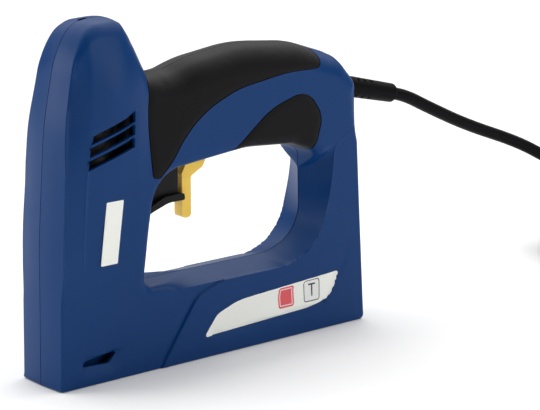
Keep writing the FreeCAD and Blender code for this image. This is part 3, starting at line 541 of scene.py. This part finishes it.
def head_width(x, z, d_body):
    """Half width of the head."""
    lip, flat, rise, crease = [table(z, pairs) for pairs in (LIP_HALF, FLAT_HALF, BULGE_RISE, CREASE_X)]
    # From the lip a step down into the valley, which then climbs to the crease.
    behind = np.clip((x - crease + VALLEY_LENGTH) / VALLEY_LENGTH, 0, 1)
    drop = smooth(0.0, LIP_DROP, d_body - FRONT_LIP)
    at_crease = flat + CREASE_SHARE * rise
    valley = lip - table(z, VALLEY_DEPTH) * drop * (1 - behind) + (at_crease - lip) * behind ** 1.3
    # Behind the crease the bulge swells over the coil and falls to the handle.
    share = np.clip((x - crease) / (HEAD_REAR - crease), 0, 1)
    swell = CREASE_SHARE * (1 - share) + REAR_SHARE * share + MIDDLE_SHARE * np.sin(pi * share) ** 1.1
    return np.where(x < crease, valley, flat + rise * swell)


# Where the head ends below the handle, and the handle's lowest height.
HEAD_END, HANDLE_FOOT = -44, 95
BLEND_FROM, BLEND_TO = -47, -43.5   # the blend from head to handle, in x
RAIL_FROM, RAIL_TO = 70, 40         # the blend from post to rail, in z


def base_width(x, z, d_body):
    """Half width of the head, handle and rail, blended where the handle meets the head."""
    head = head_width(x, z, d_body)
    near_rail = smooth(RAIL_FROM, RAIL_TO, z)
    low = FOOT_HALF * near_rail + HALF_WIDTH * (1 - near_rail)
    width = np.where(x < HEAD_END, head, np.where(z < HANDLE_FOOT, low, HALF_WIDTH))
    blend = smooth(BLEND_FROM, BLEND_TO, x)
    joined = head * (1 - blend) + HALF_WIDTH * blend
    return np.where((x > BLEND_FROM) & (x < BLEND_TO) & (z > HANDLE_FOOT), joined, width)


PANEL_STEP = 0.7                    # width of the step from the head's foot up to the rail panel
PANEL_DIP, DIP_FADE = 0.45, 2.2     # depth of the dip in front of that step, and its reach
DIP_FROM, DIP_TO, DIP_TOP = -60, 0, 45


def with_panel(points, width):
    """Rail panel: proud of the head's foot, with a soft dip in front of its step."""
    x, z = points[:, 0], points[:, 1]
    on_panel = inside(points, panel_area)
    to_step = nearest(points, step_line)[0]
    dip = PANEL_DIP * np.exp(-to_step / DIP_FADE) * smooth(-2, 6, z) * (x > DIP_FROM) * (x < DIP_TO)
    width = np.where(on_panel, HALF_WIDTH, width - np.where(z < DIP_TOP, dip, 0))
    low = FOOT_HALF - PANEL_DIP
    climb = low + (HALF_WIDTH - low) * to_step / PANEL_STEP
    return np.where(on_panel & (to_step < PANEL_STEP), climb, width)


FIELD_DEPTH = [(50, 0), (105, 0.15), (125, 0.75), (137, 0.9)]
FIELD_END, FIELD_FULL = -52, -57            # where the field ends and where it has its full depth, in x
BEAD_HEIGHT, BEAD_WIDTH = 0.22, 0.35        # the fine ridge along the crease
BAR_LEAN, BAR_DEPTH = 1.1, 2.0


def louvre_cut(points):
    """Depth of the louvre field: a plane cut into the bulge below and behind the crease."""
    x, z = points[:, 0], points[:, 1]
    in_field = inside(points, crease_area) & (x < FIELD_END)
    to_crease = nearest(points, crease_line)[0]
    fade = smooth(FIELD_END, FIELD_FULL, x)
    cut = np.where(in_field, table(z, FIELD_DEPTH) * fade * smooth(0.1, 0.9, to_crease), 0)
    bead = BEAD_HEIGHT * np.exp(-(to_crease / BEAD_WIDTH) ** 2) * smooth(52, 66, z)
    cut = cut - bead * fade
    # Each bar leans inwards below its upper edge.
    for (x0, z0), (x1, z1) in [slot[:2] for slot in SLOTS[:2]]:
        under = z0 + (x - x0) * (z1 - z0) / (x1 - x0)
        bar = (z < under) & (z > under - BAR_DEPTH) & (x > x0 - 1.3) & (x < x1 - 0.1)
        cut = cut + np.where(bar, BAR_LEAN * (under - z) / BAR_DEPTH, 0)
    return cut


SEAT_TOP, SEAT_FALL = 0.15, 1.0     # depth of the label's seat at its top, and its fall to its low edge
BANK = 3.2                          # width of the slope outside the low edge
TAIL_DIP, TAIL_FADE = 0.30, 3.0


def label_cut(points):
    """Depth of the label's seat, of the bank under it and of the crease behind its tail."""
    x, z = points[:, 0], points[:, 1]
    to_top, to_low = nearest(points, label_top)[0], nearest(points, label_low)[0]
    on_label = inside(points, label_line)
    seat = np.where(on_label, SEAT_TOP + SEAT_FALL * to_top / (to_top + to_low + TINY), 0)
    on_bank = ~on_label & (to_low < BANK) & (to_low < to_top)
    bank = np.where(on_bank, (SEAT_TOP + SEAT_FALL) * (1 - to_low / BANK), 0) * smooth(-12, 8, x)
    to_tail = nearest(points, tail_line)[0]
    tail = TAIL_DIP * np.exp(-to_tail / TAIL_FADE) * smooth(53, 36, z) * smooth(28, 33, z)
    before_tail = x < table(z, [(corner[1], corner[0]) for corner in LABEL_TAIL])
    return seat + bank + np.where(before_tail, tail, 0)


SCOOP_DEPTH = 1.3
SCOOP_MOUTH = [(-64.5, 16.0), (-75, 14.4), (-86, 13.2)]
SCOOP_TOP = np.array([(-64.5, 15.8), (-51, 28.3)])


def scoop_cut(points):
    """Depth of the scoop round the staple window."""
    to_scoop, to_window = nearest(points, scoop_line)[0], nearest(points, window_line, True)[0]
    in_scoop = inside(points, np.vstack([scoop_line, SCOOP_MOUTH]))
    slope = to_scoop / (to_scoop + to_window + TINY)
    above = nearest(points, SCOOP_TOP)[0]
    slope = slope * np.where(points[:, 0] > SCOOP_TOP[0, 0], np.clip(above / 3.0, 0, 1), 1)
    return np.where(in_scoop, SCOOP_DEPTH * slope, 0)


def side_width(points, d_body):
    """Half width of the housing's sides, before its edges are rounded."""
    width = with_panel(points, base_width(points[:, 0], points[:, 1], d_body))
    return width - louvre_cut(points) - label_cut(points) - scoop_cut(points)


COVE_BEAD = 0.12                    # the fine ridge along the cove's lip
COVE_FROM, COVE_FULL = -38, -6      # where the cove begins on the rail and where it is full, in x
POST_FROM, COVE_TOP = 55, 90        # front of the post, and the cove's limit before it
# On the post the cove fades out at a slanting line: a point of the line, the direction across it,
# and the distances from it between which the cove fades.
LINE_AT, LINE_WAY, LINE_FADE = (69, 97), (-0.5, 0.866), (-9.0, 0.5)


def half_width(points):
    """Distance of the outer surface from the middle plane, over each XZ point."""
    x, z = points[:, 0], points[:, 1]
    d_body, along_body = nearest(points, body_line, True)
    d_open, along_open = nearest(points, opening_line, True)
    crown, radius = spread(along_body, BODY_KEYS)
    width = side_width(points, d_body) * edge_profile(d_body, crown, radius)
    crown, radius = spread(along_open, OPENING_KEYS)
    around = edge_profile(d_open, crown, radius)
    # The cove: a flat slope from the seam in the opening to its lip on the side.
    in_cove = inside(points, cove_area)
    to_lip = nearest(points, cove_line)[0]
    slope = np.where(in_cove, d_open / (d_open + to_lip + TINY), 1.0)
    beyond = (x - LINE_AT[0]) * LINE_WAY[0] + (z - LINE_AT[1]) * LINE_WAY[1]
    weight = smooth(COVE_FROM, COVE_FULL, x) * (1 - smooth(*LINE_FADE, beyond) * (x > POST_FROM))
    weight = np.where((z > COVE_TOP) & (x < POST_FROM), 0, weight)
    share = around * (1 - weight) + slope * weight
    lip = COVE_BEAD * np.exp(-(to_lip / BEAD_WIDTH) ** 2) * smooth(-6, 6, x)
    return width * share + lip * (d_body > 2)


# The seam keeps out of the foot's opening, the rear opening, the slot on top and the trigger's slot.
FOOT_OPENING, REAR_OPENING_TOP = (-96.8, 91.8), 20.6
TOP_SLOT, TRIGGER_SLOT = (-74.3, -69.6), (-36.4, 4.6)
FOOT_LEVEL, TOP_LEVEL, HANDLE_LEVEL = 0.6, 178, 90
# Height of the seam, and depth of its face: elsewhere, and at each of those openings.
SEAM_GAP, SEAM_GAPS = 0.2, (8.2, 8.8, 1.4, 4.75)
FLANGE_DEPTH, FLANGE_DEPTHS = 2.0, (17.0, 7.0, 2.0, 8.0)


def at_openings(points, on_opening, elsewhere, values):
    """Value for each point beside the seam, by the opening that it lies at."""
    x, z = points[:, 0], points[:, 1]
    zones = [(z < FOOT_LEVEL) & (x > FOOT_OPENING[0]) & (x < FOOT_OPENING[1]),
             (z < REAR_OPENING_TOP) & (x > FOOT_OPENING[1]),
             (z > TOP_LEVEL) & (x > TOP_SLOT[0]) & (x < TOP_SLOT[1]),
             on_opening & (z > HANDLE_LEVEL) & (x > TRIGGER_SLOT[0]) & (x < TRIGGER_SLOT[1])]
    result = np.full(len(points), elsewhere)
    for zone, value in zip(zones, values):
        result = np.where(zone, value, result)
    return result


GROOVE, GROOVE_DEPTH = 0.3, 0.75        # half width and depth of the groove round a grip
GRIP_SWELL = 0.30
GRID = 1.7                              # spacing of the points inside
GRID_CLEAR = 0.55                       # how near a line they may come, in spacings
ROW_SHARE = 0.87                        # spacing of their rows
CREASE_SIDES, GRIP_SIDES = (-0.8, -0.35, 0.35, 0.8), (-GROOVE, GROOVE, 0.9, -0.9)
LONGEST_EDGE = 4.5
SEAM_ZONE = 0.9                         # the seam's height holds this near an outline
SHELL, UPPER, LOWER, LABEL = range(4)   # the pieces that the plan is cut into


def plan_points(on_right):
    """Points and edges of the plan that both the shell and its grips are cut from."""
    lines = [(body_line, True), (opening_line, True)]
    for line, keys, sense in ((body_line, BODY_KEYS, 1), (opening_line, OPENING_KEYS, -1)):
        at = np.concatenate([[0], np.cumsum(np.linalg.norm(np.roll(line, -1, 0) - line, axis=1))])[:-1]
        crown, radius = spread(at, keys)
        normal = into_material(line, sense)
        offsets = [crown * f for f in WALL_RINGS[1:]] + [crown + radius * f for f in ARC_RINGS]
        for offset in offsets:
            ring = line + normal * offset[:, None]
            keep = nearest(ring, line, True)[0] > offset * 0.97 - 1e-5
            lines.append((ring[keep], True))
    for line in (cove_line, crease_line, step_line):
        lines += [(line, False)] + [(parallel(line, side), False) for side in CREASE_SIDES]
    lines += [(scoop_line, False), (window_line, True), (label_line, True), (tail_line, False)]
    lines.append((parallel(label_line, -BANK, True), True))
    signs = ((red_line, (FRAME_FROM, FRAME_TO)), (pale_line, (SIGN_BORDER,)), (nail_line, ()))
    for sign, steps in signs:
        lines += [(sign, True)] + [(parallel(sign, step, True), True) for step in steps]
    for grip in (upper_line, lower_line):
        lines += [(grip, True)] + [(parallel(grip, side, True), True) for side in GRIP_SIDES]
    lines += [(line, True) for line in slot_lines]
    if on_right:
        lines += [(line, True) for line in screw_lines]

    points, edges = [], []
    for line, closed in lines:
        count = len(line)
        start = len(points)
        points += [tuple(p) for p in line]
        for j in range(count if closed else count - 1):
            a, b = line[j], line[(j + 1) % count]
            if np.hypot(*(b - a)) < LONGEST_EDGE:
                edges.append((start + j, start + (j + 1) % count))
    tree = search_tree(points)
    left, right, top = -101, 101, 181
    for row, z in enumerate(np.arange(0.5, top, GRID * ROW_SHARE)):
        for x in np.arange(left + (row % 2) * GRID / 2, right, GRID):
            if tree.find((x, z, 0))[2] > GRID_CLEAR * GRID:
                points.append((x, z))
    return points, edges


def cut_plan(on_right):
    """Triangles of the plan with the height of each corner and the piece each belongs to."""
    points, edges = plan_points(on_right)
    found = delaunay_2d_cdt([Vector(p) for p in points], edges, [], 0, 1e-5)
    corners = np.array([tuple(v) for v in found[0]])
    faces = np.array([f for f in found[2] if len(f) == 3])
    middle = corners[faces].mean(1)
    keep = inside(middle, body_line) & ~inside(middle, opening_line)
    for hole in slot_lines + [window_line] + (screw_lines if on_right else []):
        keep &= ~inside(middle, hole)
    faces, middle = faces[keep], middle[keep]

    height = half_width(corners)
    d_body, d_open = nearest(corners, body_line, True)[0], nearest(corners, opening_line, True)[0]
    for grip in (upper_line, lower_line):
        border = nearest(corners, grip, True)[0]
        swell = np.where(inside(corners, grip), GRIP_SWELL * smooth(0.2, 2.5, border), 0)
        groove = GROOVE_DEPTH * np.clip(1 - border / GROOVE, 0, 1)
        height = height + (swell - groove) * smooth(0.0, 3.0, np.minimum(d_body, d_open) + 0.6)
    on_edge = np.minimum(d_body, d_open) < SEAM_ZONE
    seam = at_openings(corners, d_open < SEAM_ZONE, SEAM_GAP, SEAM_GAPS)
    height = np.where(on_edge, np.maximum(height, seam), height)
    height = np.maximum(height, SEAM_GAP)

    piece = np.full(len(faces), SHELL)
    for number, grip in ((UPPER, upper_line), (LOWER, lower_line)):
        near = nearest(middle, grip, True)[0]
        piece[inside(middle, grip) | (near < GROOVE)] = number
    piece[inside(middle, label_line)] = LABEL
    return corners, faces, height, piece, d_body, d_open


SHARP_ANGLE = 32


def make_mesh(name, vertices, faces):
    """Smooth mesh from points in millimetres."""
    mesh = bpy.data.meshes.new(name)
    mesh.from_pydata([tuple(v) for v in np.asarray(vertices, float) * MM], [], [tuple(f) for f in faces])
    mesh.validate()
    mesh.shade_smooth()
    mesh.set_sharp_from_angle(angle=radians(SHARP_ANGLE))
    return link(bpy.data.objects.new(name, mesh))


WALL = 2.2
ON_LINE = 1e-3


def inward(points, line, sense):
    """Unit direction into the material at points on an outline."""
    normal = into_material(line, sense)
    tree = search_tree(line)
    return np.array([normal[tree.find((x, z, 0))[1]] for x, z in points])


def shell_piece(name, plan, number, side):
    """One skin of the plan with its seam face and the thickness of its other borders."""
    corners, faces, height, piece, d_body, d_open = plan
    faces = faces[piece == number]
    used = np.unique(faces)
    index = np.full(len(corners), -1)
    index[used] = np.arange(len(used))
    faces = index[faces]
    plan_xz, high = corners[used], height[used]
    on_body, on_open = d_body[used] < ON_LINE, d_open[used] < ON_LINE

    ways = {}
    for face in faces:
        for a, b in ((face[0], face[1]), (face[1], face[2]), (face[2], face[0])):
            ways[(a, b)] = True
    border = [(a, b) for a, b in ways if (b, a) not in ways]

    turn_in = np.zeros((len(used), 2))
    for flags, line, sense in ((on_body, body_line, 1), (on_open, opening_line, -1)):
        if flags.any():
            turn_in[flags] = inward(plan_xz[flags], line, sense)
    depth = at_openings(plan_xz, on_open, FLANGE_DEPTH, FLANGE_DEPTHS)
    seam = plan_xz + turn_in * depth[:, None]

    vertices = [(x, side * h, z) for (x, z), h in zip(plan_xz, high)]
    extra = {}

    def inner(i, on_seam):
        """The border vertex moved into the shell."""
        if (i, on_seam) not in extra:
            extra[(i, on_seam)] = len(vertices)
            if on_seam:
                vertices.append((seam[i][0], side * high[i], seam[i][1]))
            else:
                vertices.append((plan_xz[i][0], side * max(high[i] - WALL, SEAM_GAP), plan_xz[i][1]))
        return extra[(i, on_seam)]

    result = [tuple(f) if side < 0 else tuple(f[::-1]) for f in faces]
    for a, b in border:
        on_seam = (on_body[a] and on_body[b]) or (on_open[a] and on_open[b])
        quad = (b, a, inner(a, on_seam), inner(b, on_seam))
        result.append(quad if side < 0 else quad[::-1])
    return make_mesh(name, vertices, result)


def print_signs(label):
    """Colour the faces of the label that lie in its signs."""
    for ink in (RED_PRINT, DARK_PRINT, WHITE_PRINT):
        label.data.materials.append(ink)
    red, dark, white = 1, 2, 3
    middle = np.array([(face.center[0], face.center[2]) for face in label.data.polygons]) / MM
    ink = np.zeros(len(middle), int)
    from_edge = nearest(middle, red_line, True)[0]
    ink[inside(middle, red_line)] = red
    ink[(ink == red) & (from_edge > FRAME_FROM) & (from_edge < FRAME_TO)] = white
    ink[inside(middle, pale_line)] = white
    ink[(ink == white) & (nearest(middle, pale_line, True)[0] < SIGN_BORDER)] = dark
    ink[inside(middle, nail_line)] = dark
    label.data.polygons.foreach_set("material_index", ink)


PIECES = ((SHELL, "housing_", "blue_housing"), (UPPER, "upper_grip_", "grip_rubber"),
          (LOWER, "lower_grip_", "grip_rubber"), (LABEL, "rail_label_", "label_print"))


def make_shells():
    """Both housing halves, and the soft grips and labels on them."""
    for word, side in (("left", -1), ("right", 1)):
        plan = cut_plan(side > 0)
        for number, start, slot in PIECES:
            obj = shell_piece(start + word + "_skin", plan, number, side)
            dress(obj, slot)
            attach(obj, "chassis")
            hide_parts(start + word)
            if number == LABEL:
                print_signs(obj)


# ---------------------------------------------------------------- dark tape round the winding, painted shade behind the louvre slots
TAPE_ROUND = 48
TAPE_TURNS = 3
TAPE_SHORT = 0.3            # how far the tape stops before the winding's ends
TAPE_SUNK = 0.2             # how far its borders sink into the winding


def make_shade_tape():
    """Dark tape wound over the copper, with small steps where its turns overlap; its black is painted
    shade, so the winding looks dark through the louvre slots.
    """
    low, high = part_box("coil_winding")
    middle = [(a + b) / 2 / MM for a, b in zip(low, high)]
    radius = (high[0] - low[0]) / 2 / MM
    bottom, top = low[2] / MM + TAPE_SHORT, high[2] / MM - TAPE_SHORT
    profile = [(radius - TAPE_SUNK, bottom)]
    for i in range(TAPE_TURNS):
        start = bottom + (top - bottom) * i / TAPE_TURNS
        end = bottom + (top - bottom) * (i + 1) / TAPE_TURNS
        # Each turn starts on the one before, so it stands out most near its start.
        for out, height in ((0.15, start + 0.02), (0.35, start + 0.3), (0.2, end - 0.1)):
            profile.append((radius + out, height))
    profile.append((radius - TAPE_SUNK, top))
    vertices, faces = [], []
    for r, z in profile:
        for j in range(TAPE_ROUND):
            a = 2 * pi * j / TAPE_ROUND
            vertices.append((middle[0] + r * cos(a), middle[1] + r * sin(a), z))
    rings = len(profile)
    for i in range(rings):
        for j in range(TAPE_ROUND):
            k = (j + 1) % TAPE_ROUND
            here, there = i * TAPE_ROUND, (i + 1) % rings * TAPE_ROUND
            faces.append((here + j, here + k, there + k, there + j))
    tape = make_mesh("winding_shade_tape", vertices, faces)
    # Black finish: painted shade for the inside of the housing seen through the slots.
    dress(tape, "black_plastic")
    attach(tape, "chassis")


# ---------------------------------------------------------------- springs
SPRING_ROUND = 8        # corners of the wire's section
SPRING_STEPS = 24       # places along each turn
ALONG_X, ALONG_Z = 0, 2


def make_spring(name, wire, turns, axis, fixed_low):
    """Helix in the box of a CAD spring, wound along an axis."""
    low, high = [np.array(corner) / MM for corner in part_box(name)]
    middle = (low + high) / 2
    first, second = [k for k in range(3) if k != axis]
    radius = (high[first] - low[first]) / 2 - wire
    start, end = low[axis] + wire, high[axis] - wire
    count = turns * SPRING_STEPS + 1
    vertices, faces = [], []
    for i in range(count):
        around = 2 * pi * i / SPRING_STEPS
        for j in range(SPRING_ROUND):
            a = 2 * pi * j / SPRING_ROUND
            reach = radius + wire * cos(a)
            point = np.zeros(3)
            point[first] = middle[first] + reach * cos(around)
            point[second] = middle[second] + reach * sin(around)
            point[axis] = start + (end - start) * i / (count - 1) + wire * sin(a)
            vertices.append(point)
    for i in range(count - 1):
        for j in range(SPRING_ROUND):
            k = (j + 1) % SPRING_ROUND
            here, there = i * SPRING_ROUND, (i + 1) * SPRING_ROUND
            faces.append((here + j, there + j, there + k, here + k))
    last = (count - 1) * SPRING_ROUND
    faces.append(tuple(range(SPRING_ROUND)))
    faces.append(tuple(last + j for j in range(SPRING_ROUND))[::-1])
    spring = make_mesh(name + "_coil", vertices, faces)
    dress(spring, "spring_steel")
    ends = [middle * MM, middle * MM]
    ends[0][axis], ends[1][axis] = low[axis] * MM, high[axis] * MM
    if not fixed_low:
        ends.reverse()
    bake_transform(spring)
    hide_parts(name)


def make_springs():
    """The plunger's return spring and the pusher's spring."""
    make_spring("return_spring", 0.6, 6, ALONG_Z, True)
    make_spring("pusher_spring", 0.4, 26, ALONG_X, False)


# ---------------------------------------------------------------- power cord
CORD_RADIUS = 3.5
CORD_ROUTE = [(135.4, 0, 118.8), (145.1, 0, 116.5), (163.5, 0.3, 107.4), (196, 1.5, 92.6),
              (240, 2.5, 76.6), (262, -1, 64.5), (279, -10.5, 54.5), (296, -22, 46), (314, -28, 40.5),
              (337, -28.5, 39.4)]
TAIL_ROUTE = [(366.5, -28.3, 4.4), (378.5, -24.6, 4.6), (389, -18.4, 5.2), (400.5, -14.9, 6.5),
              (412.5, -14.3, 7.1)]
HANK_X, HANK_RUN = 309.0, 46.0      # start and length of the hank's straight sides
NEAR_STRAND, FAR_STRAND = 21.5, 28.5
HANK_LOW = 4.4
HANK_LAYERS = 5
SIDE_POINTS, FOLD_POINTS = 4, 6


def hank_points():
    """The hank from its top end to its low one: two turns lie side by side in each layer."""
    points = []
    layer, strand, moved, quarter = 0, FAR_STRAND, False, 0
    left, right = HANK_X, HANK_X + HANK_RUN
    while layer < HANK_LAYERS:
        # In one quarter of each layer the cord moves to the other strand and, a turn later, climbs.
        crossing = quarter % 4 == (3 - layer) % 4
        other = NEAR_STRAND + FAR_STRAND - strand
        count = FOLD_POINTS if quarter % 2 else SIDE_POINTS
        for k in range(count):
            share = (k + 0.5) / count
            lift = pi / 2 * share * share * (3 - 2 * share) if crossing else 0.0
            away = strand + (other - strand) * (1 - cos(lift)) * (not moved)
            high = HANK_LOW + 2 * CORD_RADIUS * (layer + sin(lift) * moved)
            if quarter % 4 == 0:
                place = (right - HANK_RUN * share, -away)
            elif quarter % 4 == 2:
                place = (left + HANK_RUN * share, away)
            else:
                way = 1 if quarter % 4 == 1 else -1
                angle = way * (pi * share - pi / 2)
                reach = away / cos(pi / (2 * FOLD_POINTS))
                middle = left if way > 0 else right
                place = (middle - way * reach * cos(angle), reach * sin(angle))
            points.append((*place, high))
        if crossing and moved:
            layer, moved = layer + 1, False
        elif crossing:
            strand, moved = other, True
        quarter += 1
    return points[::-1]


def make_cord():
    """The whole cord as one smooth line: free run, hank and tail to the plug."""
    route = CORD_ROUTE + hank_points() + TAIL_ROUTE
    curve = bpy.data.curves.new("power_cord", "CURVE")
    curve.dimensions = "3D"
    curve.bevel_depth = CORD_RADIUS * MM
    curve.bevel_resolution = 5
    curve.resolution_u = 6
    curve.use_fill_caps = True
    spline = curve.splines.new("NURBS")
    spline.points.add(len(route) - 1)
    for point, (x, y, z) in zip(spline.points, route):
        point.co = (x * MM, y * MM, z * MM, 1.0)
    spline.order_u = 3
    spline.use_endpoint_u = True
    cord = link(bpy.data.objects.new("power_cord", curve))
    dress(cord, "cord_rubber")
    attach(cord, "chassis")
    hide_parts("cord_run", "cord_hank", "cord_tail")


make_camera()
make_studio()
dress_frame()
make_cord()
make_shells()
make_shade_tape()
make_springs()
